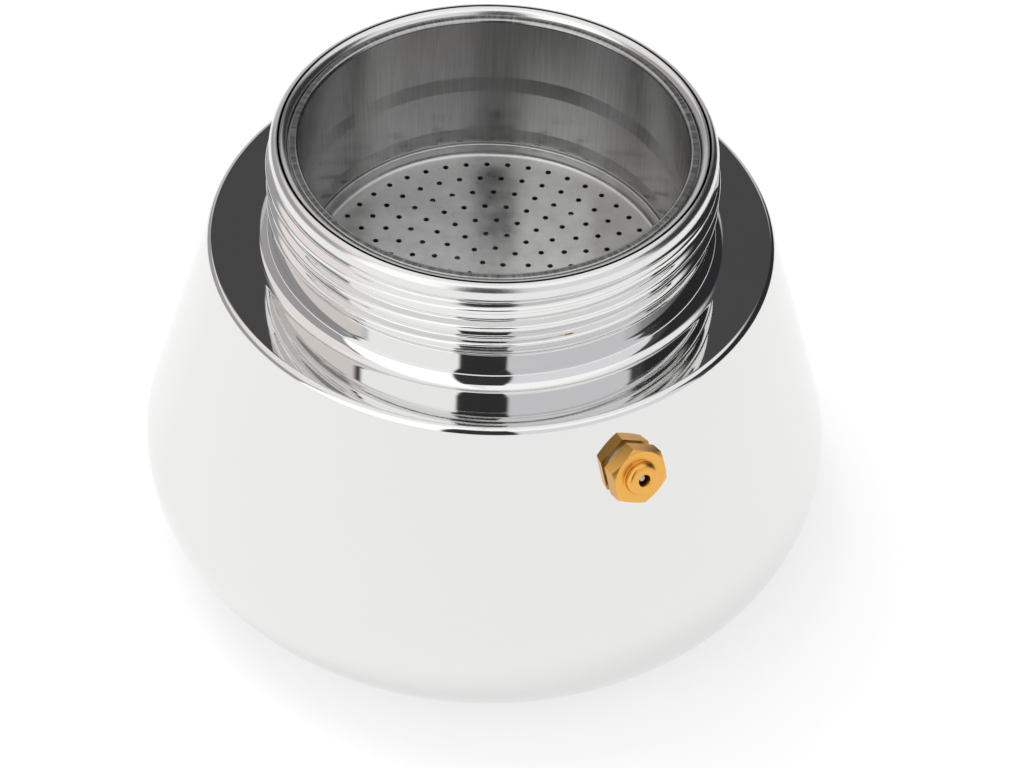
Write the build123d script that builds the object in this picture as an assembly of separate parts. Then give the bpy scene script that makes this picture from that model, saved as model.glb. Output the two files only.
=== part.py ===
from build123d import *
import math
import os

# Lower half of a stainless steel moka pot: the boiler with its safety valve, and the coffee funnel
# that hangs in its neck. Millimetres. +Z is up, and the origin is the centre of the base, on the
# surface that the pot stands on. -Y is the front, and the safety valve faces front right.

# ---- Boiler: a drawn cone closed by a collar, on a sandwich base ----------------------------------
SHEET = 0.8                 # wall, bottom and shoulder
WALL_SLOPE = 16.8           # degrees that the wall leans in from the vertical
SHOULDER_R = 40.3
SHOULDER_Z = 53.4
SHOULDER_ROUND = 0.6
SEAM_Z = 51.8               # weld between the drawn wall and the collar
HEEL_ROUND = 15.1
RECESS_R = 42.2             # recess in the bottom that takes the sandwich base
HEEL_Z = 1.2                # height of the heel at the recess
HEEL_RISE = 30.0            # degrees that it rises outwards from there
PANEL_Z = 4.2               # underside of the bottom panel

CAP_R = 41.8
CAP_SHEET = 0.7

# ---- Neck and its rolled thread -------------------------------------------------------------------
NECK_R = 30.9
NECK_FOOT_ROUND = 2.6
NECK_BAND_TOP = 58.5        # the plain band ends here and the thread zone begins
ROOT_R = 30.65
CREST_R = 31.7
THREAD_PITCH = 3.15
THREAD_WIDTH = 2.6
FRONT_CREST_Z = 60.05       # height of the lowest full crest on the front
THREAD_BELOW = 130          # degrees of thread before that crest
THREAD_TURNS = 2.66
BEAD_FOOT_Z = 67.6          # the rolled bead of the lip swells out of the neck here
BEAD_R = 31.15
LIP_Z = 70.3
LIP_ROUND = 1.1
NECK_INSIDE_R = 29.9
SEAT_R = 28.55              # recess in the lip that takes the funnel's flange
SEAT_Z = 69.0
BORE_R = 27.85
SEAT_BOTTOM = 67.8

# ---- Safety valve: s is the distance out from the wall, along the valve's axis ---------------------
VALVE_TURN = 27.4           # degrees from the front towards +X
VALVE_Z = 44.9
HEX_FLATS = 7.6
HEX_TURN = -23              # turns two flats nearly upright
HEX_BACK = 0.5
HEX_FRONT = 2.95
HEX_FACE_R = 3.75
HEX_CHAMFER = 0.45
DOME_R = 2.4
DOME_FRONT = 4.15
PIN_HOLE_R = 0.85
SHANK_R = 2.7
SHANK_END = -6.0
VALVE_BORE_R = 1.85
BORE_FRONT = 1.7
WALL_HOLE_R = 2.8
GASKET_R = 3.4
WASHER_R = 4.4
WASHER_BACK = -1.9
NUT_FLATS = 8.4
NUT_BACK = -4.3
NUT_BORE_R = 2.75
SEAT_FRONT = -5.0
SEAT_HOLE_R = 0.9
SEAL_R = 1.6
SEAL_THICK = 0.6
PISTON_R = 1.65
PISTON_THICK = 0.6
STEM_R = 0.5
STEM_TIP = 3.45
SPRING_R = 1.3
SPRING_WIRE_R = 0.17
SPRING_TURNS = 6
STOP_GAP = 0.05             # between faces of two bodies that rest on each other

# ---- Coffee funnel --------------------------------------------------------------------------------
CUP_SHEET = 0.45
CUP_R = 27.15               # inside radius of the upper wall, then of the two steps below it
CUP_MID_R = 26.95
CUP_LOW_R = 26.75
STEP_1 = (59.3, 56.8)       # heights between which the wall steps in
STEP_2 = (49.7, 47.7)
CUP_CORNER_Z = 43.6
FLANGE_R = 28.4
FLANGE_SHEET = 0.6
FLANGE_ROUND = 0.5
CONE_END_Z = 31.6
SPIGOT_R = 5.0              # inside radius of the collar that grips the stem
SPIGOT_END = 28.0
STEM_SHEET = 0.45
STEM_TOP = 31.3
STEM_END = 8.0
PLATE_Z = 44.3              # top of the perforated plate, at its centre
PLATE_DISH = 0.95           # rise of the plate from there to its skirt
PLATE_SHEET = 0.5
PLATE_BEND = 0.7
PLATE_SKIRT_TOP = 47.1
HOLE_R = 0.42
HOLE_PITCH = 3.0            # between rings, and nearly so along each ring
HOLE_RINGS = 8
HOLE_TURN = -8.9            # degrees from +X to the first hole, on the centre's own ring
HOLE_TWIST = 1.42           # degrees by which each ring is turned beyond the one inside it

SLOPE = math.radians(WALL_SLOPE)
RISE = math.radians(HEEL_RISE)


def wall_r(z, inset=0.0):
    """Radius of the boiler's cone at height z, or of the surface that lies inset within it."""
    return SHOULDER_R + (SHOULDER_Z - z) * math.tan(SLOPE) - inset / math.cos(SLOPE)


def heel_corner(inset=0.0):
    """Where the cone would meet the rising heel, on the surface that lies inset within both."""
    foot = HEEL_Z + inset / math.cos(RISE) - RECESS_R * math.tan(RISE)
    z = (foot + wall_r(0, inset) * math.tan(RISE)) / (1 + math.tan(SLOPE) * math.tan(RISE))
    return wall_r(z, inset), z


def lathe(*corners):
    """Solid turned about +Z from an outline of (radius, height, rounding) corners."""
    points = [(r, z) for r, z, _ in corners]
    outline = FilletPolyline(*points, radius=[rounding for *_, rounding in corners], close=True)
    return revolve(Plane.XZ * make_face(outline.edges()), Axis.Z)


def ring(inner, outer, low, high):
    """Plain ring or, with an inner radius of 0, a disc."""
    return lathe((inner, low, 0), (outer, low, 0), (outer, high, 0), (inner, high, 0))


def helix(radius, pitch, turns, section):
    """Solid that section, drawn around the origin in the XZ plane, sweeps along a helix from z = 0."""
    path = Helix(pitch=pitch, height=pitch * turns, radius=radius)
    return sweep(Pos(radius, 0, 0) * Plane.XZ * section, path=path, is_frenet=True)


# ---- Boiler ---------------------------------------------------------------------------------------
def boiler_wall():
    """Drawn shell: the cone, its rounded heel, and a bottom with a recess for the sandwich base."""
    edge = RECESS_R + SHEET
    shell = lathe(
        (wall_r(SEAM_Z), SEAM_Z, 0),
        (*heel_corner(), HEEL_ROUND),
        (RECESS_R, HEEL_Z, 0.3),
        (RECESS_R, PANEL_Z, 0.3),
        (0, PANEL_Z, 0),
        (0, PANEL_Z + SHEET, 0),
        (edge, PANEL_Z + SHEET, 0.8),
        (edge, HEEL_Z + SHEET * (1 / math.cos(RISE) + math.tan(RISE)), 0.2),
        (*heel_corner(SHEET), HEEL_ROUND - SHEET),
        (wall_r(SEAM_Z, SHEET), SEAM_Z, 0),
    )
    return shell - VALVE * ring(0, WALL_HOLE_R, -2 * SHEET, 2 * SHEET)


def boiler_collar():
    """Shoulder and neck in one pressing, with a rolled lip that holds the funnel's flange."""
    under = SHOULDER_Z - SHEET
    pressing = lathe(
        (wall_r(SEAM_Z), SEAM_Z, 0),
        (SHOULDER_R, SHOULDER_Z, SHOULDER_ROUND),
        (NECK_R, SHOULDER_Z, NECK_FOOT_ROUND),
        (NECK_R, NECK_BAND_TOP, 0.5),
        (ROOT_R, NECK_BAND_TOP + 0.5, 0.5),
        (ROOT_R, BEAD_FOOT_Z, 0.4),
        (BEAD_R, BEAD_FOOT_Z + 0.5, 0.8),
        (BEAD_R, LIP_Z, LIP_ROUND),
        (SEAT_R, LIP_Z, LIP_ROUND),
        (SEAT_R, SEAT_Z, 0),
        (BORE_R, SEAT_Z, 0.2),
        (BORE_R, SEAT_BOTTOM, 0),
        (NECK_INSIDE_R, SEAT_BOTTOM, 0.4),
        (NECK_INSIDE_R, under, NECK_FOOT_ROUND + SHEET),
        (wall_r(under, SHEET), under, 0.3),
        (wall_r(SEAM_Z, SHEET), SEAM_Z, 0),
    )
    depth = CREST_R - ROOT_R
    buried = 0.3
    half = THREAD_WIDTH / 2
    crest = make_face(
        [
            ThreePointArc((-buried, -half), (depth, 0), (-buried, half)),
            Line((-buried, half), (-buried, -half)),
        ]
    )
    start = Rot(Z=-90 - THREAD_BELOW) * Pos(Z=FRONT_CREST_Z - THREAD_PITCH * THREAD_BELOW / 360)
    return pressing + start * helix(ROOT_R, THREAD_PITCH, THREAD_TURNS, crest)


def base_core():
    """Aluminium disc that spreads the heat."""
    return ring(0, CAP_R - CAP_SHEET, CAP_SHEET, PANEL_Z)


def base_cap():
    """Pressed cap of magnetic steel around the aluminium disc; the pot stands on it."""
    inside = CAP_R - CAP_SHEET
    return lathe(
        (0, 0, 0),
        (CAP_R, 0, 0.9),
        (CAP_R, PANEL_Z - 0.1, 0),
        (inside, PANEL_Z - 0.1, 0),
        (inside, CAP_SHEET, 0),
        (0, CAP_SHEET, 0),
    )


# ---- Safety valve ---------------------------------------------------------------------------------
def valve_frame():
    """Plane on the wall's outer face whose normal is the valve's axis."""
    turn = math.radians(VALVE_TURN)
    along = (math.cos(turn), math.sin(turn), 0)
    out = (math.cos(SLOPE) * math.sin(turn), -math.cos(SLOPE) * math.cos(turn), math.sin(SLOPE))
    foot = (wall_r(VALVE_Z) * math.sin(turn), -wall_r(VALVE_Z) * math.cos(turn), VALVE_Z)
    return Plane(origin=foot, x_dir=along, z_dir=out)


VALVE = valve_frame()


def hexagon(flats, low, high):
    """Hexagonal prism along the valve's axis."""
    section = RegularPolygon(flats / 2, 6, major_radius=False, rotation=HEX_TURN)
    return Pos(Z=low) * extrude(section, high - low)


def cone_solid(inset):
    """Everything within the boiler's cone, or within the surface that lies inset below it."""
    low, high = 25, SEAM_Z
    return lathe(
        (0, low, 0), (wall_r(low, inset), low, 0), (wall_r(high, inset), high, 0), (0, high, 0)
    )


def valve_body():
    """Brass hexagon with a domed nose and a pin hole, and the bored shank behind it."""
    bevel = lathe(
        (0, HEX_BACK, 0),
        (HEX_FLATS, HEX_BACK, 0),
        (HEX_FLATS, HEX_FRONT - HEX_CHAMFER - (HEX_FLATS - HEX_FACE_R) / 2, 0),
        (HEX_FACE_R, HEX_FRONT, 0),
        (0, HEX_FRONT, 0),
    )
    nose = lathe(
        (0, HEX_FRONT - 0.5, 0),
        (DOME_R, HEX_FRONT - 0.5, 0),
        (DOME_R, DOME_FRONT, 0.8),
        (0, DOME_FRONT, 0),
    )
    shank = ring(0, SHANK_R, SHANK_END, HEX_BACK)
    solid = (hexagon(HEX_FLATS, HEX_BACK, HEX_FRONT) & bevel) + nose + shank
    solid -= ring(0, VALVE_BORE_R, SHANK_END, BORE_FRONT)
    solid -= ring(0, PIN_HOLE_R, 0, DOME_FRONT)
    return VALVE * solid


def valve_gasket():
    """Thin seal under the hexagon, fitted to the wall's cone."""
    return VALVE * ring(WALL_HOLE_R, GASKET_R, -0.5, HEX_BACK) - cone_solid(0)


def valve_washer():
    """Seal inside the boiler, fitted to the inner face of the wall."""
    return VALVE * ring(WALL_HOLE_R, WASHER_R, WASHER_BACK, 0) & cone_solid(SHEET)


def valve_nut():
    """Brass nut that clamps the valve from inside."""
    return VALVE * (hexagon(NUT_FLATS, NUT_BACK, WASHER_BACK) - ring(0, NUT_BORE_R, NUT_BACK, 0))


def valve_seat():
    """Ring pressed into the shank's inner end, which the seal closes."""
    return VALVE * ring(SEAT_HOLE_R, VALVE_BORE_R, SHANK_END, SEAT_FRONT)


def valve_seal():
    """Silicone disc on the piston."""
    low = SEAT_FRONT + STOP_GAP
    return VALVE * ring(0, SEAL_R, low, low + SEAL_THICK)


def piston_back():
    return SEAT_FRONT + STOP_GAP + SEAL_THICK


def valve_plunger():
    """Piston and its stem, whose tip shows in the pin hole."""
    low = piston_back()
    return VALVE * lathe(
        (0, low, 0),
        (PISTON_R, low, 0),
        (PISTON_R, low + PISTON_THICK, 0),
        (STEM_R, low + PISTON_THICK, 0),
        (STEM_R, STEM_TIP, 0.2),
        (0, STEM_TIP, 0),
    )


def valve_spring():
    """Coil spring between the piston and the head of the valve."""
    low = piston_back() + PISTON_THICK + SPRING_WIRE_R
    length = BORE_FRONT - SPRING_WIRE_R - low
    wire = Circle(SPRING_WIRE_R)
    return VALVE * Pos(Z=low) * helix(SPRING_R, length / SPRING_TURNS, SPRING_TURNS, wire)


# ---- Coffee funnel --------------------------------------------------------------------------------
def basket_cup():
    """Cup and cone in one drawing, with the flange that hangs in the boiler's lip."""
    flange_z = SEAT_Z + STOP_GAP
    cone = math.atan2(CUP_CORNER_Z - CONE_END_Z, CUP_LOW_R - SPIGOT_R)
    drop = CUP_SHEET / math.cos(cone) - CUP_SHEET * math.tan(cone)
    return lathe(
        (CUP_R, flange_z + FLANGE_SHEET, FLANGE_ROUND),
        (CUP_R, STEP_1[0], 0.5),
        (CUP_MID_R, STEP_1[1], 0.5),
        (CUP_MID_R, STEP_2[0], 0.5),
        (CUP_LOW_R, STEP_2[1], 0.5),
        (CUP_LOW_R, CUP_CORNER_Z, 0.8),
        (SPIGOT_R, CONE_END_Z, 1.2),
        (SPIGOT_R, SPIGOT_END, 0),
        (SPIGOT_R + CUP_SHEET, SPIGOT_END, 0),
        (SPIGOT_R + CUP_SHEET, CONE_END_Z - drop, 0.8),
        (CUP_LOW_R + CUP_SHEET, CUP_CORNER_Z - drop, 1.2),
        (CUP_LOW_R + CUP_SHEET, STEP_2[1], 0.5),
        (CUP_MID_R + CUP_SHEET, STEP_2[0], 0.5),
        (CUP_MID_R + CUP_SHEET, STEP_1[1], 0.5),
        (CUP_R + CUP_SHEET, STEP_1[0], 0.5),
        (CUP_R + CUP_SHEET, flange_z, 0.15),
        (FLANGE_R, flange_z, 0.15),
        (FLANGE_R, flange_z + FLANGE_SHEET, 0.2),
    )


def funnel_stem():
    """Tube swaged into the cone's spigot; water rises through it."""
    return ring(SPIGOT_R - STEM_SHEET, SPIGOT_R, STEM_END, STEM_TOP)


def dished(z, radius):
    """Outline of the dished plate's surface from its centre, at height z, out to a radius."""
    rise = PLATE_DISH * (radius / (CUP_LOW_R - PLATE_SHEET)) ** 2
    return ThreePointArc((0, z), (radius / 2, z + rise / 4), (radius, z + rise))


def filter_plate():
    """Slightly dished, perforated disc with a turned-up skirt, pressed into the cup."""
    inner = CUP_LOW_R - PLATE_SHEET
    top = dished(PLATE_Z, inner)
    under = dished(PLATE_Z - PLATE_SHEET, CUP_LOW_R)
    skirt = Polyline(top @ 1, (inner, PLATE_SKIRT_TOP), (CUP_LOW_R, PLATE_SKIRT_TOP), under @ 1)
    outline = make_face([top, *skirt.edges(), under, Line(under @ 0, top @ 0)])
    bend = outline.vertices().sort_by_distance(top @ 1)[0]
    outline = fillet(bend, PLATE_BEND)
    bend = outline.vertices().sort_by_distance(under @ 1)[0]
    outline = fillet(bend, PLATE_BEND + PLATE_SHEET / 2)
    dish = revolve(Plane.XZ * outline, Axis.Z)
    hole = Circle(HOLE_R)
    holes = Sketch() + hole
    for n in range(1, HOLE_RINGS + 1):
        turn = HOLE_TURN + n * HOLE_TWIST
        holes += PolarLocations(n * HOLE_PITCH, 6 * n, start_angle=turn) * hole
    return dish - extrude(Pos(Z=PLATE_Z - 2 * PLATE_SHEET) * holes, PLATE_DISH + 3 * PLATE_SHEET)


PARTS = [
    boiler_wall,
    boiler_collar,
    base_core,
    base_cap,
    valve_body,
    valve_gasket,
    valve_washer,
    valve_nut,
    valve_seat,
    valve_spring,
    valve_plunger,
    valve_seal,
    basket_cup,
    funnel_stem,
    filter_plate,
]

os.makedirs("parts", exist_ok=True)
for make in PARTS:
    export_step(make(), f"parts/{make.__name__}.step")
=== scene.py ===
import math

import bmesh
import bpy
from mathutils import Matrix, Vector


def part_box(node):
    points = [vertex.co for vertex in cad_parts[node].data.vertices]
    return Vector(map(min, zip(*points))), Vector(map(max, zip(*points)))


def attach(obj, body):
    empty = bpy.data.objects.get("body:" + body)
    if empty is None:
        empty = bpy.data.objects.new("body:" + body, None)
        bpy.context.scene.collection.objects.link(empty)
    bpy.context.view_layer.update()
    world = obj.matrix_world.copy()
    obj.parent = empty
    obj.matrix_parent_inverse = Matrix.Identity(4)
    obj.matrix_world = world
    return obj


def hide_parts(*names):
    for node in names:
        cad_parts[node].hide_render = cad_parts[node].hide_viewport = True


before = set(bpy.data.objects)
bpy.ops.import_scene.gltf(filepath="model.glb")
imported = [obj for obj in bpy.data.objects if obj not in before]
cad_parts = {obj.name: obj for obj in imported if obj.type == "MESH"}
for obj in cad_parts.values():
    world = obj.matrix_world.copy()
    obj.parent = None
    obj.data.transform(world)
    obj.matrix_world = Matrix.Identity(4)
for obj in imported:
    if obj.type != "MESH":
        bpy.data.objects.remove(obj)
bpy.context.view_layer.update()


# ---- Camera ------------------------------------------------------------------------------------
# It looks down into the open funnel from 43 cm away, a little askew, as a hand-held camera does.
# Its long lens shows the pot with little perspective.
MM = 0.001
LENS_MM = 96.2
SENSOR_MM = 36
NEAREST = 10 * MM
EYE_BEFORE = 292.8 * MM
EYE_ABOVE = 311.2 * MM
LOOK_DOWN = math.radians(44.6)
LOOK_RIGHT = math.radians(0.75)
ASKEW = math.radians(2.43)

camera = bpy.data.objects.new("camera", bpy.data.cameras.new("camera"))
bpy.context.scene.collection.objects.link(camera)
camera.data.lens = LENS_MM
camera.data.sensor_width = SENSOR_MM
camera.data.clip_start = NEAREST
camera.rotation_euler = (
    Matrix.Rotation(-LOOK_RIGHT, 3, "Z")
    @ Matrix.Rotation(math.pi / 2 - LOOK_DOWN, 3, "X")
    @ Matrix.Rotation(ASKEW, 3, "Z")
).to_euler()
camera.location = (0, -EYE_BEFORE, EYE_ABOVE)
bpy.context.scene.camera = camera


# ---- Boiler wall -------------------------------------------------------------------------------
# The water vessel: one drawing in 0.8 mm stainless steel, a cone that leans in by 17 degrees
# from a large rounded heel, polished to a mirror outside. Its bottom has a recess for the
# sandwich base.
SHEET = 0.8 * MM
WALL_LEAN = math.radians(16.8)
SHOULDER_R = 40.3 * MM
SHOULDER_Z = 53.4 * MM
SEAM_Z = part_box("boiler_wall")[1][2]
HEEL_ROUND = 15.1 * MM
HEEL_RISE = math.radians(30)
HEEL_Z = 1.2 * MM
RECESS_R = 42.2 * MM
RECESS_ROUND = 0.3 * MM
RECESS_INNER_ROUND = 0.8 * MM
RECESS_FOOT_ROUND = 0.2 * MM
PANEL_Z = 4.2 * MM
TURN_STEPS = 240
SAME_PLACE = 1e-7


def wall_radius(z, inset=0.0):
    """Radius of the cone at a height, or of the surface that lies inset within it."""
    return SHOULDER_R + (SHOULDER_Z - z) * math.tan(WALL_LEAN) - inset / math.cos(WALL_LEAN)


def heel_corner(inset=0.0):
    """Where the cone would meet the rising heel, on the surface that lies inset within both."""
    foot = HEEL_Z + inset / math.cos(HEEL_RISE) - RECESS_R * math.tan(HEEL_RISE)
    lean = 1 + math.tan(WALL_LEAN) * math.tan(HEEL_RISE)
    z = (foot + wall_radius(0, inset) * math.tan(HEEL_RISE)) / lean
    return wall_radius(z, inset), z


def rounded(corners, step=math.radians(7.5)):
    """Points of an outline of (radius, height, rounding) corners, each rounding drawn as an arc.

    A point beside each end of an arc keeps the shading of the straight runs true.
    """
    points = []
    for index, (radius, height, rounding) in enumerate(corners):
        corner = Vector((radius, height))
        if not rounding:
            points.append(corner)
            continue
        back = (Vector(corners[index - 1][:2]) - corner).normalized()
        ahead = (Vector(corners[(index + 1) % len(corners)][:2]) - corner).normalized()
        half = back.angle(ahead) / 2
        reach = rounding / math.tan(half)
        centre = corner + (back + ahead).normalized() * rounding / math.sin(half)
        first = corner + back * reach - centre
        last = corner + ahead * reach - centre
        sweep = math.pi - 2 * half
        if first.x * last.y - first.y * last.x < 0:
            sweep = -sweep
        count = max(2, math.ceil(abs(sweep) / step))
        beside = min(0.15 * rounding, 0.2 * MM)
        points.append(corner + back * (reach + beside))
        for number in range(count + 1):
            points.append(centre + Matrix.Rotation(sweep * number / count, 2) @ first)
        points.append(corner + ahead * (reach + beside))
    return points


def drawn(outline, closed=True):
    """A bmesh that holds an outline in the XZ plane, as edges from vertex to vertex."""
    mesh = bmesh.new()
    row = [mesh.verts.new((point[0], 0, point[1])) for point in outline]
    for first, second in zip(row, row[1:] + row[:1] if closed else row[1:]):
        mesh.edges.new((first, second))
    return mesh


def turn(mesh, steps=TURN_STEPS):
    """Spins an outline about +Z into a solid whose faces point outwards."""
    bmesh.ops.spin(
        mesh, geom=mesh.verts[:] + mesh.edges[:], cent=(0, 0, 0), axis=(0, 0, 1),
        angle=2 * math.pi, steps=steps, use_merge=True,
    )
    bmesh.ops.remove_doubles(mesh, verts=mesh.verts, dist=SAME_PLACE)
    bmesh.ops.recalc_face_normals(mesh, faces=mesh.faces)


def finished(name, mesh, material, body, slot, *nodes, sharp=math.radians(32)):
    """Makes the object of a mesh, smooth but for its sharp edges, in place of the CAD nodes."""
    for face in mesh.faces:
        face.smooth = True
    for edge in mesh.edges:
        edge.smooth = edge.calc_face_angle(0) < sharp
    piece = bpy.data.objects.new(name, bpy.data.meshes.new(name))
    mesh.to_mesh(piece.data)
    mesh.free()
    bpy.context.scene.collection.objects.link(piece)
    piece.data.materials.append(material)
    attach(piece, body)
    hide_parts(*nodes)
    return piece


def colour(code):
    """Linear colour of an sRGB hex value."""
    channels = [int(code[at:at + 2], 16) / 255 for at in (1, 3, 5)]
    return [c / 12.92 if c <= 0.04045 else ((c + 0.055) / 1.055) ** 2.4 for c in channels] + [1]


def add(tree, kind, sockets=None, **settings):
    """Adds a node with its settings; sockets maps an input to a value or to an output to link."""
    node = tree.nodes.new(kind)
    for key, value in settings.items():
        setattr(node, key, value)
    for key, value in (sockets or {}).items():
        if isinstance(value, bpy.types.NodeSocket):
            tree.links.new(value, node.inputs[key])
        else:
            node.inputs[key].default_value = value
    return node


def new_material(name):
    """A material with an empty tree, and its output node."""
    material = bpy.data.materials.new(name)
    material.use_nodes = True
    material.node_tree.nodes.clear()
    return material, material.node_tree, add(material.node_tree, "ShaderNodeOutputMaterial")


# Stainless steel polished on a mop: a bright mirror with a neutral tone. Faint waves from the
# drawing bend what it reflects, and handling has left a haze that comes and goes. The lip, which
# the gasket rubs, has gone satin.
MIRROR_TONE = "#E4E4E3"
WAVE_LENGTH = 30 * MM
HAZE_PATCH = 12 * MM
CLEAREST = 0.03
HAZIEST = 0.06
LIP_SATIN_Z = 67.7 * MM
LIP_SATIN_BLEND = 0.4 * MM
LIP_SATIN = 0.17


def mirror_steel():
    material, tree, out = new_material("mirror_polished_stainless_steel")
    place = add(tree, "ShaderNodeTexCoord").outputs["Object"]
    up = add(tree, "ShaderNodeSeparateXYZ", {"Vector": place}).outputs["Z"]
    satin = add(tree, "ShaderNodeMapRange", {
        "Value": up, "From Min": LIP_SATIN_Z - LIP_SATIN_BLEND,
        "From Max": LIP_SATIN_Z + LIP_SATIN_BLEND, "To Max": LIP_SATIN})
    waves = add(tree, "ShaderNodeTexNoise", {
        "Vector": place, "Scale": 1 / WAVE_LENGTH, "Detail": 1.0})
    bump = add(tree, "ShaderNodeBump", {
        "Height": waves.outputs["Fac"], "Strength": 0.02, "Distance": 1 * MM})
    haze = add(tree, "ShaderNodeTexNoise", {
        "Vector": place, "Scale": 1 / HAZE_PATCH, "Detail": 4.0})
    rough = add(tree, "ShaderNodeMapRange", {
        "Value": haze.outputs["Fac"], "From Min": 0.35, "From Max": 0.75,
        "To Min": CLEAREST, "To Max": HAZIEST})
    rough = add(tree, "ShaderNodeMath", {
        0: rough.outputs["Result"], 1: satin.outputs["Result"]}, operation="ADD")
    metal = add(tree, "ShaderNodeBsdfPrincipled", {
        "Base Color": colour(MIRROR_TONE), "Metallic": 1.0, "Roughness": rough.outputs[0],
        "Normal": bump.outputs["Normal"],
    })
    tree.links.new(metal.outputs["BSDF"], out.inputs["Surface"])
    return material


MIRROR_STEEL = mirror_steel()

# Where the sheet's inner face over the heel meets the inner face around the recess.
recess_foot = HEEL_Z + SHEET * (1 / math.cos(HEEL_RISE) + math.tan(HEEL_RISE))
wall = drawn(rounded([
    (wall_radius(SEAM_Z), SEAM_Z, 0),
    (*heel_corner(), HEEL_ROUND),
    (RECESS_R, HEEL_Z, RECESS_ROUND),
    (RECESS_R, PANEL_Z, RECESS_ROUND),
    (0, PANEL_Z, 0),
    (0, PANEL_Z + SHEET, 0),
    (RECESS_R + SHEET, PANEL_Z + SHEET, RECESS_INNER_ROUND),
    (RECESS_R + SHEET, recess_foot, RECESS_FOOT_ROUND),
    (*heel_corner(SHEET), HEEL_ROUND - SHEET),
    (wall_radius(SEAM_Z, SHEET), SEAM_Z, 0),
]))
turn(wall)
finished("boiler_shell", wall, MIRROR_STEEL, "boiler", "polished_steel", "boiler_wall")


# ---- Boiler collar -----------------------------------------------------------------------------
# Shoulder, neck and lip are one pressing, welded to the wall under the shoulder's edge; the
# shoulder falls slightly towards the neck. The thread for the upper pot is rolled in, so it is a
# soft ridge with a narrow flat crest, which runs out at both ends.
SHOULDER_EDGE = 1.0 * MM
SHOULDER_INNER_ROUND = 0.3 * MM
NECK_R = 31.15 * MM
NECK_FOOT_Z = 53.05 * MM
NECK_FOOT_ROUND = 2.3 * MM
BAND_TOP = 58.3 * MM
BAND_EDGE_Z = 58.45 * MM
BAND_ROUND = 0.15 * MM
ROOT_R = 30.65 * MM
THREAD_DEPTH = 1.05 * MM
THREAD_PITCH = 3.15 * MM
THREAD_LAND = 0.5 * MM
THREAD_FLANK = 0.6 * MM
FRONT_CREST_Z = 60.25 * MM
THREAD_FIRST_TURN = -0.36
THREAD_LAST_TURN = 2.3
THREAD_FADE_TURNS = 0.12
THREAD_ROWS = 110
BEAD_FOOT_Z = 67.6 * MM
BEAD_RISE = 0.5 * MM
BEAD_FOOT_ROUND = 0.4 * MM
BEAD_ROUND = 0.8 * MM
BEAD_R = 31.15 * MM
LIP_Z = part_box("boiler_collar")[1][2]
LIP_ROUND = 1.27 * MM
NECK_INSIDE_R = 29.9 * MM
SEAT_R = 28.55 * MM
SEAT_Z = 69.0 * MM
BORE_R = 27.85 * MM
BORE_ROUND = 0.2 * MM
SEAT_BOTTOM = 67.8 * MM
SEAT_UNDER_ROUND = 0.4 * MM

under_shoulder = SHOULDER_Z - SHEET
collar = drawn(rounded([
    (wall_radius(SEAM_Z), SEAM_Z, 0),
    (SHOULDER_R, SHOULDER_Z, SHOULDER_EDGE),
    (NECK_R, NECK_FOOT_Z, NECK_FOOT_ROUND),
    (NECK_R, BAND_TOP, BAND_ROUND),
    (ROOT_R, BAND_EDGE_Z, BAND_ROUND),
    (ROOT_R, BEAD_FOOT_Z, BEAD_FOOT_ROUND),
    (BEAD_R, BEAD_FOOT_Z + BEAD_RISE, BEAD_ROUND),
    (BEAD_R, LIP_Z, LIP_ROUND),
    (SEAT_R, LIP_Z, LIP_ROUND),
    (SEAT_R, SEAT_Z, 0),
    (BORE_R, SEAT_Z, BORE_ROUND),
    (BORE_R, SEAT_BOTTOM, 0),
    (NECK_INSIDE_R, SEAT_BOTTOM, SEAT_UNDER_ROUND),
    (NECK_INSIDE_R, under_shoulder, NECK_FOOT_ROUND + SHEET),
    (wall_radius(under_shoulder, SHEET), under_shoulder, SHOULDER_INNER_ROUND),
    (wall_radius(SEAM_Z, SHEET), SEAM_Z, 0),
]))
thread_zone = max(
    (edge for edge in collar.edges if all(v.co.x > ROOT_R - 0.01 * MM for v in edge.verts)),
    key=lambda edge: abs(edge.verts[0].co.z - edge.verts[1].co.z),
)
bmesh.ops.subdivide_edges(collar, edges=[thread_zone], cuts=THREAD_ROWS)
turn(collar)


def smooth(value):
    """Eases a value between 0 and 1 in and out."""
    return value * value * (3 - 2 * value)


def crest_at(place):
    """Height of the rolled ridge over the neck at a point: 0 in the root and 1 on the crest.

    Turns are counted along the ridge, from its crest at the front.
    """
    around = math.atan2(place.x, -place.y) / (2 * math.pi)
    crests = (place.z - FRONT_CREST_Z) / THREAD_PITCH - around
    number = round(crests)
    along = number + around
    ends = min(along - THREAD_FIRST_TURN, THREAD_LAST_TURN - along) / THREAD_FADE_TURNS
    fade = min(max(ends, 0), 1)
    beside = abs(crests - number) * THREAD_PITCH - THREAD_LAND / 2
    slope = min(max(1 - beside / THREAD_FLANK, 0), 1)
    return smooth(slope) * smooth(fade)


for vertex in collar.verts:
    radius = math.hypot(vertex.co.x, vertex.co.y)
    if abs(radius - ROOT_R) < 0.02 * MM and vertex.co.z > BAND_EDGE_Z:
        out = 1 + THREAD_DEPTH * crest_at(vertex.co) / radius
        vertex.co.x *= out
        vertex.co.y *= out
finished("threaded_collar", collar, MIRROR_STEEL, "boiler", "polished_steel", "boiler_collar")


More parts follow.
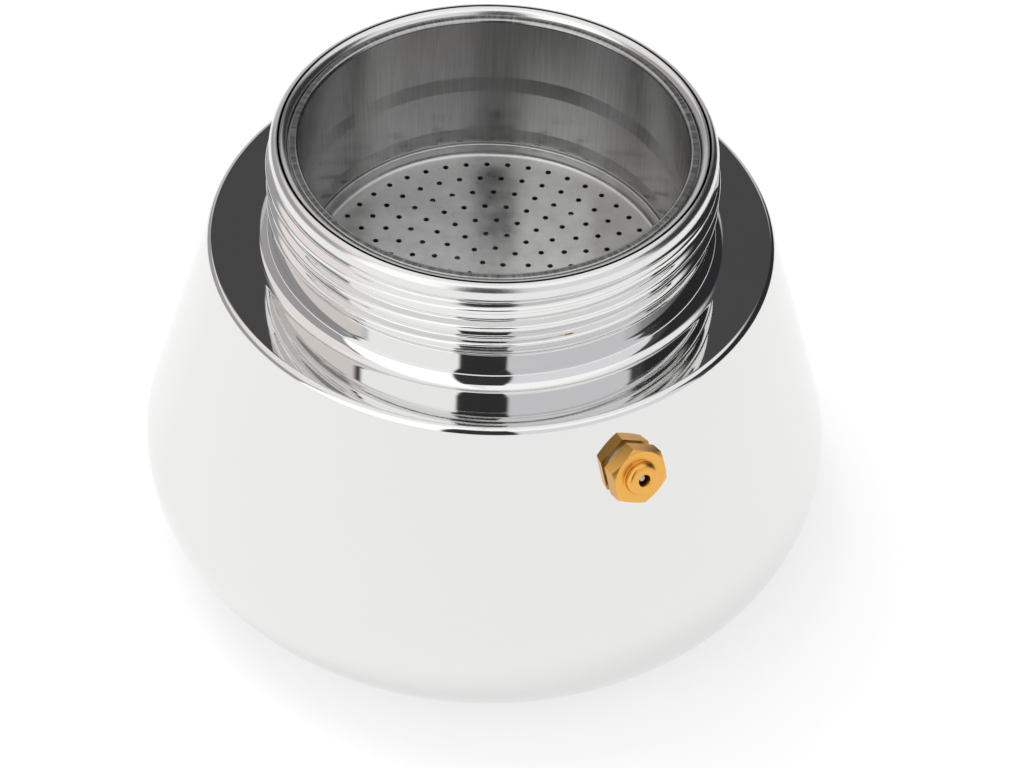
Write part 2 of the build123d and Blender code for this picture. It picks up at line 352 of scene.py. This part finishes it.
# ---- Coffee funnel cup -------------------------------------------------------------------------
# The cup and its cone are one thin drawing in stainless steel, left satin from the press. The wall
# steps in twice, and the flat flange, which seals under the gasket, is scratched from use.
CUP_SHEET = 0.45 * MM
CUP_R = 27.15 * MM
CUP_MID_R = 26.95 * MM
CUP_LOW_R = 26.75 * MM
STEP_1_TOP = 59.3 * MM
STEP_1_FOOT = 56.8 * MM
STEP_2_TOP = 49.7 * MM
STEP_2_FOOT = 47.7 * MM
STEP_ROUND = 0.5 * MM
CUP_CORNER_Z = 43.6 * MM
BEND_INSIDE = 0.8 * MM
BEND_OUTSIDE = 1.2 * MM
CONE_END_Z = 31.6 * MM
SPIGOT_R = 5.0 * MM
SPIGOT_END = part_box("basket_cup")[0][2]
FLANGE_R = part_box("basket_cup")[1][0]
FLANGE_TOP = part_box("basket_cup")[1][2]
FLANGE_Z = FLANGE_TOP - 0.6 * MM
FLANGE_ROUND = 0.15 * MM
FLANGE_EDGE_ROUND = 0.2 * MM

# Stainless steel as the press leaves it: satin, a shade darker than the polished shell, with faint
# upright streaks where the die has drawn it. On the cup's wall 60 streaks to the radian are
# 0.45 mm wide, and with height counted 1.5 times they are 11 mm long. Grit marks are far finer
# than the grain drawn here, which is as coarse as it has to be to show.
STREAKS_PER_RADIAN = 60.0
STREAK_HEIGHT_SCALE = 1.5
WEAR_PATCH = 4 * MM
WEAR_ROUGHENS = 0.12
GRAIN = 1.5 * MM
GRAIN_DEPTH = 0.05 * MM


def satin_steel(name, tone, dull, smoothest, streaks_upright):
    material, tree, out = new_material(name)
    place = add(tree, "ShaderNodeTexCoord").outputs["Object"]
    spot = add(tree, "ShaderNodeSeparateXYZ", {"Vector": place}).outputs
    turned = add(tree, "ShaderNodeMath", {0: spot["Y"], 1: spot["X"]}, operation="ARCTAN2")
    upright = add(tree, "ShaderNodeMath", {0: spot["Z"], 1: STREAK_HEIGHT_SCALE},
                  operation="MULTIPLY")
    around = add(tree, "ShaderNodeCombineXYZ", {"X": turned.outputs[0], "Y": upright.outputs[0]})
    wear = add(tree, "ShaderNodeTexNoise", {
        "Vector": around.outputs["Vector"] if streaks_upright else place,
        "Scale": STREAKS_PER_RADIAN if streaks_upright else 1 / WEAR_PATCH,
        "Detail": 6.0, "Roughness": 0.7})
    rough = add(tree, "ShaderNodeMapRange", {
        "Value": wear.outputs["Fac"], "From Min": 0.35, "From Max": 0.65,
        "To Min": smoothest, "To Max": smoothest + WEAR_ROUGHENS})
    worn = add(tree, "ShaderNodeMapRange", {
        "Value": wear.outputs["Fac"], "From Min": 0.3, "From Max": 0.7})
    steel = add(tree, "ShaderNodeMix", {
        0: worn.outputs["Result"], 6: colour(dull), 7: colour(tone)}, data_type="RGBA")
    grain = add(tree, "ShaderNodeTexNoise", {"Vector": place, "Scale": 1 / GRAIN, "Detail": 4.0})
    bump = add(tree, "ShaderNodeBump", {
        "Height": grain.outputs["Fac"], "Strength": 0.06, "Distance": GRAIN_DEPTH})
    metal = add(tree, "ShaderNodeBsdfPrincipled", {
        "Base Color": steel.outputs[2], "Metallic": 1.0, "Roughness": rough.outputs["Result"],
        "Normal": bump.outputs["Normal"],
    })
    tree.links.new(metal.outputs["BSDF"], out.inputs["Surface"])
    return material


DRAWN_STEEL = satin_steel("satin_drawn_stainless_steel", "#C0C0BF", "#A6A6A5", 0.14, True)

# The outside of the cone lies one sheet's thickness below its inside, measured square to it.
cone = math.atan2(CUP_CORNER_Z - CONE_END_Z, CUP_LOW_R - SPIGOT_R)
drop = CUP_SHEET / math.cos(cone) - CUP_SHEET * math.tan(cone)
cup = drawn(rounded([
    (CUP_R, FLANGE_TOP, STEP_ROUND),
    (CUP_R, STEP_1_TOP, STEP_ROUND),
    (CUP_MID_R, STEP_1_FOOT, STEP_ROUND),
    (CUP_MID_R, STEP_2_TOP, STEP_ROUND),
    (CUP_LOW_R, STEP_2_FOOT, STEP_ROUND),
    (CUP_LOW_R, CUP_CORNER_Z, BEND_INSIDE),
    (SPIGOT_R, CONE_END_Z, BEND_OUTSIDE),
    (SPIGOT_R, SPIGOT_END, 0),
    (SPIGOT_R + CUP_SHEET, SPIGOT_END, 0),
    (SPIGOT_R + CUP_SHEET, CONE_END_Z - drop, BEND_INSIDE),
    (CUP_LOW_R + CUP_SHEET, CUP_CORNER_Z - drop, BEND_OUTSIDE),
    (CUP_LOW_R + CUP_SHEET, STEP_2_FOOT, STEP_ROUND),
    (CUP_MID_R + CUP_SHEET, STEP_2_TOP, STEP_ROUND),
    (CUP_MID_R + CUP_SHEET, STEP_1_FOOT, STEP_ROUND),
    (CUP_R + CUP_SHEET, STEP_1_TOP, STEP_ROUND),
    (CUP_R + CUP_SHEET, FLANGE_Z, FLANGE_ROUND),
    (FLANGE_R, FLANGE_Z, FLANGE_ROUND),
    (FLANGE_R, FLANGE_TOP, FLANGE_EDGE_ROUND),
]))
turn(cup)
finished("funnel_cup", cup, DRAWN_STEEL, "funnel", "satin_steel", "basket_cup")


# ---- Filter plate ------------------------------------------------------------------------------
# A thin steel disc with a turned-up skirt, slightly dished and pressed into the cup. It is
# punched with 217 holes: eight rings around a centre one, each ring with six more than the last.
PLATE_SHEET = 0.5 * MM
PLATE_TOP = 44.3 * MM
PLATE_DISH = 0.95 * MM
SKIRT_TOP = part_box("filter_plate")[1][2]
SKIRT_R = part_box("filter_plate")[1][0]
HOLE_R = 0.42 * MM
HOLE_PITCH = 3.0 * MM
HOLE_RINGS = 8
HOLE_SIDES = 16
RING_START = -8.9
RING_TWIST = 1.42
FLAT_R = 25.2 * MM
DISH_GRID = 2 * MM
DISH_LINES = 12
BEND_ROUND = 0.7 * MM


def hole_places():
    """Centres of the holes, ring by ring, each ring turned a little beyond the one inside it.

    The start and the twist from ring to ring are in degrees.
    """
    yield 0.0, 0.0
    for ring in range(1, HOLE_RINGS + 1):
        for number in range(6 * ring):
            angle = math.radians(RING_START + RING_TWIST * ring + 60 * number / ring)
            yield ring * HOLE_PITCH * math.cos(angle), ring * HOLE_PITCH * math.sin(angle)


def dish(radius):
    """Rise of the plate above its centre at a radius."""
    return PLATE_DISH * (radius / (SKIRT_R - PLATE_SHEET)) ** 2


PUNCHED_STEEL = satin_steel("punched_stainless_sheet", "#DCDCDB", "#C4C4C3", 0.27, False)

plate = drawn(rounded([
    (FLAT_R, PLATE_TOP + dish(FLAT_R), 0),
    (SKIRT_R - PLATE_SHEET, PLATE_TOP + PLATE_DISH, BEND_ROUND),
    (SKIRT_R - PLATE_SHEET, SKIRT_TOP, PLATE_SHEET / 3),
    (SKIRT_R, SKIRT_TOP, PLATE_SHEET / 3),
    (SKIRT_R, PLATE_TOP - PLATE_SHEET + PLATE_DISH, BEND_ROUND + PLATE_SHEET / 2),
    (FLAT_R, PLATE_TOP - PLATE_SHEET + dish(FLAT_R), 0),
]), closed=False)
turn(plate)
disc = bmesh.new()
bmesh.ops.create_circle(disc, segments=TURN_STEPS, radius=FLAT_R)
for x, y in hole_places():
    bmesh.ops.create_circle(disc, segments=HOLE_SIDES, radius=HOLE_R,
                            matrix=Matrix.Translation((x, y, 0)))
bmesh.ops.triangle_fill(disc, edges=disc.edges, use_beauty=True)
# Cut into small squares, the flat disc can be bent into its dish.
for number in range(-DISH_LINES, DISH_LINES + 1):
    for across in (Vector((1, 0, 0)), Vector((0, 1, 0))):
        bmesh.ops.bisect_plane(
            disc, geom=disc.verts[:] + disc.edges[:] + disc.faces[:], dist=SAME_PLACE,
            plane_co=across * number * DISH_GRID, plane_no=across,
        )
for vertex in disc.verts:
    vertex.co.z = PLATE_TOP + dish(math.hypot(vertex.co.x, vertex.co.y))
under = bmesh.ops.extrude_face_region(disc, geom=disc.faces[:], use_keep_orig=True)
low = [item for item in under["geom"] if isinstance(item, bmesh.types.BMVert)]
bmesh.ops.translate(disc, verts=low, vec=(0, 0, -PLATE_SHEET))
# The disc is open at its rim, where the skirt's two sides close it.
rim = [face for face in disc.faces
       if all(math.hypot(v.co.x, v.co.y) > FLAT_R - 0.01 * MM for v in face.verts)]
bmesh.ops.delete(disc, geom=rim, context="FACES")
joined = bpy.data.meshes.new("disc")
disc.to_mesh(joined)
disc.free()
plate.from_mesh(joined)
bmesh.ops.remove_doubles(plate, verts=plate.verts, dist=0.002 * MM)
bmesh.ops.recalc_face_normals(plate, faces=plate.faces)
finished("filter_disc", plate, PUNCHED_STEEL, "funnel", "satin_steel", "filter_plate")


# ---- Safety valve ------------------------------------------------------------------------------
# A turned brass body with a hexagon, screwed through the wall: a domed nose is crimped over its
# front, and the tip of the sprung plunger shows in the hole.
VALVE_TURN = math.radians(27.4)
VALVE_Z = 44.9 * MM
HEX_FLATS = 7.6 * MM
HEX_TURN = math.radians(7)
HEX_BACK = 0.5 * MM
HEX_FRONT = 2.95 * MM
HEX_FACE_R = 3.75 * MM
HEX_CORNER_R = HEX_FLATS / math.sqrt(3)
HEX_CHAMFER = 0.35 * MM
HEX_BACK_ROUND = 0.1 * MM
HEX_FACE_ROUND = 0.08 * MM
DOME_R = 2.4 * MM
DOME_FRONT = 4.15 * MM
DOME_FOOT_ROUND = 0.1 * MM
DOME_ROUND = 0.75 * MM
PIN_HOLE_R = 0.85 * MM
PIN_HOLE_ROUND = 0.12 * MM
VALVE_BORE_R = 1.85 * MM
BORE_FRONT = 1.7 * MM
SHANK_R = 2.7 * MM
SHANK_END = -6.0 * MM
SHANK_ROUND = 0.2 * MM
VALVE_STEPS = 96


# Brass as the lathe leaves it: a bright warm yellow, its gloss softened by fine turning marks.
def machined_brass():
    material, tree, out = new_material("machined_brass")
    metal = add(tree, "ShaderNodeBsdfPrincipled", {
        "Base Color": colour("#EDB35A"), "Metallic": 1.0, "Roughness": 0.3,
    })
    tree.links.new(metal.outputs["BSDF"], out.inputs["Surface"])
    return material


BRASS = machined_brass()

wall_out = Vector((
    math.cos(WALL_LEAN) * math.sin(VALVE_TURN),
    -math.cos(WALL_LEAN) * math.cos(VALVE_TURN),
    math.sin(WALL_LEAN),
))
along_wall = Vector((math.cos(VALVE_TURN), math.sin(VALVE_TURN), 0))
valve_foot = Vector((
    wall_radius(VALVE_Z) * math.sin(VALVE_TURN),
    -wall_radius(VALVE_Z) * math.cos(VALVE_TURN),
    VALVE_Z,
))
valve_place = Matrix.Translation(valve_foot) @ Matrix(
    (along_wall, wall_out.cross(along_wall), wall_out)).transposed().to_4x4()

valve = drawn(rounded([
    (VALVE_BORE_R, SHANK_END, 0),
    (SHANK_R, SHANK_END, SHANK_ROUND),
    (SHANK_R, HEX_BACK, 0),
    (HEX_CORNER_R, HEX_BACK, HEX_BACK_ROUND),
    (HEX_CORNER_R, HEX_FRONT - HEX_CHAMFER, 0),
    (HEX_FACE_R, HEX_FRONT, HEX_FACE_ROUND),
    (DOME_R, HEX_FRONT, DOME_FOOT_ROUND),
    (DOME_R, DOME_FRONT, DOME_ROUND),
    (PIN_HOLE_R, DOME_FRONT, PIN_HOLE_ROUND),
    (PIN_HOLE_R, BORE_FRONT, 0),
    (VALVE_BORE_R, BORE_FRONT, 0),
]))
turn(valve, VALVE_STEPS)
for side in range(6):
    facing = Matrix.Rotation(HEX_TURN + side * math.pi / 3, 3, "Z") @ Vector((1, 0, 0))
    cut = bmesh.ops.bisect_plane(
        valve, geom=valve.verts[:] + valve.edges[:] + valve.faces[:], dist=SAME_PLACE,
        plane_co=facing * HEX_FLATS / 2, plane_no=facing, clear_outer=True,
    )
    rim = [item for item in cut["geom_cut"] if isinstance(item, bmesh.types.BMEdge)]
    bmesh.ops.holes_fill(valve, edges=rim, sides=0)
bmesh.ops.transform(valve, matrix=valve_place, verts=valve.verts)
bmesh.ops.recalc_face_normals(valve, faces=valve.faces)
HEX_SHARP = math.radians(20)
finished("valve_hexagon", valve, BRASS, "boiler", "brass", "valve_body", sharp=HEX_SHARP)


# ---- Pieces kept from the CAD model ------------------------------------------------------------
# The funnel's stem, the sandwich base, and the valve's gasket, washer, nut, seat, seal, spring and
# plunger: turned, pressed or moulded pieces, mostly out of sight. They keep the CAD model's plain
# forms, and get only their materials here.
def coat(material, *names):
    """Gives CAD pieces a material of their own."""
    for name in names:
        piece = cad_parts[name]
        piece.data.materials.clear()
        piece.data.materials.append(material)


# Moulded silicone: matte and pale grey, so that it stays quiet beside the metal.
silicone, rubber_tree, rubber_out = new_material("moulded_silicone")
rubber = add(rubber_tree, "ShaderNodeBsdfPrincipled", {
    "Base Color": colour("#B9B7B2"), "Roughness": 0.6})
rubber_tree.links.new(rubber.outputs["BSDF"], rubber_out.inputs["Surface"])
coat(silicone, "valve_gasket", "valve_washer", "valve_seal")
coat(BRASS, "valve_nut", "valve_seat")
coat(DRAWN_STEEL, "funnel_stem", "valve_plunger", "valve_spring", "base_cap", "base_core")


# ---- Studio ------------------------------------------------------------------------------------
# A white table under a bright ceiling. A window fills the left and a paler wall the right, and
# whoever holds the camera stands dark between them, which is what the polished steel mirrors.
TABLE_SIZE = 3
TABLE_GLOW = 1.12
TABLE_GLOW_SHARE = 0.6
floor_mesh = bmesh.new()
bmesh.ops.create_grid(floor_mesh, x_segments=1, y_segments=1, size=TABLE_SIZE)
floor = bpy.data.objects.new("floor", bpy.data.meshes.new("floor"))
floor_mesh.to_mesh(floor.data)
floor_mesh.free()
bpy.context.scene.collection.objects.link(floor)
white, white_tree, white_out = new_material("white_table")
paper = add(white_tree, "ShaderNodeBsdfDiffuse", {"Color": colour("#FAFAFA")})
glow = add(white_tree, "ShaderNodeEmission", {
    "Color": colour("#FDFDFD"), "Strength": TABLE_GLOW})
sight = add(white_tree, "ShaderNodeLightPath").outputs
seen = add(white_tree, "ShaderNodeMath", {
    0: sight["Is Camera Ray"], 1: sight["Is Glossy Ray"]}, operation="MAXIMUM")
seen = add(white_tree, "ShaderNodeMath", {
    0: seen.outputs[0], 1: TABLE_GLOW_SHARE}, operation="MULTIPLY")
table_top = add(white_tree, "ShaderNodeMixShader", {
    0: seen.outputs[0], 1: paper.outputs["BSDF"], 2: glow.outputs["Emission"]})
white_tree.links.new(table_top.outputs["Shader"], white_out.inputs["Surface"])
floor.data.materials.append(white)

world = bpy.data.worlds.new("studio")
bpy.context.scene.world = world
world.use_nodes = True
room = world.node_tree
room.nodes.clear()
room_out = add(room, "ShaderNodeOutputWorld")
towards = add(room, "ShaderNodeSeparateXYZ", {
    "Vector": add(room, "ShaderNodeTexCoord").outputs["Generated"]})
ahead = add(room, "ShaderNodeMath", {0: towards.outputs["Y"], 1: -1}, operation="MULTIPLY")
bearing = add(room, "ShaderNodeMath", {0: towards.outputs["X"], 1: ahead.outputs[0]},
              operation="ARCTAN2")
height = add(room, "ShaderNodeMath", {0: towards.outputs["Z"]}, operation="ARCSINE")


def past(value, limit, soft):
    """1 where a value is beyond a limit and 0 before it, over a soft edge; a minus swaps them."""
    return add(room, "ShaderNodeMapRange", {
        "Value": value, "From Min": limit - soft, "From Max": limit + soft,
    }, interpolation_type="SMOOTHSTEP").outputs["Result"]


def lay(under, middle, reach, bottom, top, soft, shade, strength=1.0):
    """Lays a soft-edged patch of light or dark over the room; its limits are in degrees.

    Middle is the bearing of its centre from the front, reach its half width, and bottom and top
    are heights above the horizon.
    """
    middle, reach, bottom, top, soft = map(math.radians, (middle, reach, bottom, top, soft))
    aside = add(room, "ShaderNodeMath", {0: bearing.outputs[0], 1: middle}, operation="SUBTRACT")
    aside = add(room, "ShaderNodeMath", {0: aside.outputs[0], 1: math.pi, 2: -math.pi},
                operation="WRAP")
    aside = add(room, "ShaderNodeMath", {0: aside.outputs[0]}, operation="ABSOLUTE")
    cover = past(aside.outputs[0], reach, -soft)
    for edge in (past(height.outputs[0], bottom, soft), past(height.outputs[0], top, -soft)):
        cover = add(room, "ShaderNodeMath", {0: cover, 1: edge}, operation="MULTIPLY").outputs[0]
    light = [channel * strength for channel in colour(shade)[:3]] + [1]
    return add(room, "ShaderNodeMix", {0: cover, 6: under, 7: light}, data_type="RGBA").outputs[2]


view = colour("#4D4D4E")
# The ceiling, all the way round.
view = lay(view, 0, 181, 46, 100, 3, "#FFFFFF")
# The far wall, and the wall beyond the window with the light above it.
view = lay(view, 180, 60, -20, 33, 3, "#CBCBCB")
view = lay(view, -100, 45, -20, 36, 3, "#AAA8AB")
view = lay(view, -112, 40, 36, 60, 2, "#FBF3F0")
# The window, and opposite it the paler wall under a brighter strip of ceiling.
view = lay(view, -41, 27, -20, 90, 1.5, "#FFFFFF", 1.3)
view = lay(view, 45, 34, -20, 50, 2, "#EEECF1")
view = lay(view, 45, 45, 50, 90, 2, "#FFFFFF", 1.15)
# A dark doorway, and whoever holds the camera.
view = lay(view, 120, 32, -20, 46, 4, "#303032")
view = lay(view, -2, 13, -20, 61, 1.2, "#38383A")
light = add(room, "ShaderNodeBackground", {"Color": view, "Strength": 1.0})
room.links.new(light.outputs["Background"], room_out.inputs["Surface"])

# A soft round lamp, high behind the pot on the left, throws its shadow towards the front right.
# The polished steel doesn't mirror it.
KEY_SIZE = 0.6
KEY_WATTS = 4
KEY_PLACE = (-0.35, 0.35, 1.0)
KEY_AIM = Vector((0, 0, 30 * MM))
key = bpy.data.objects.new("key", bpy.data.lights.new("key", "AREA"))
key.data.shape = "DISK"
key.data.size = KEY_SIZE
key.data.energy = KEY_WATTS
key.location = KEY_PLACE
key.rotation_euler = (KEY_AIM - key.location).to_track_quat("-Z", "Y").to_euler()
key.visible_glossy = False
bpy.context.scene.collection.objects.link(key)

bpy.context.scene.view_settings.view_transform = "Standard"
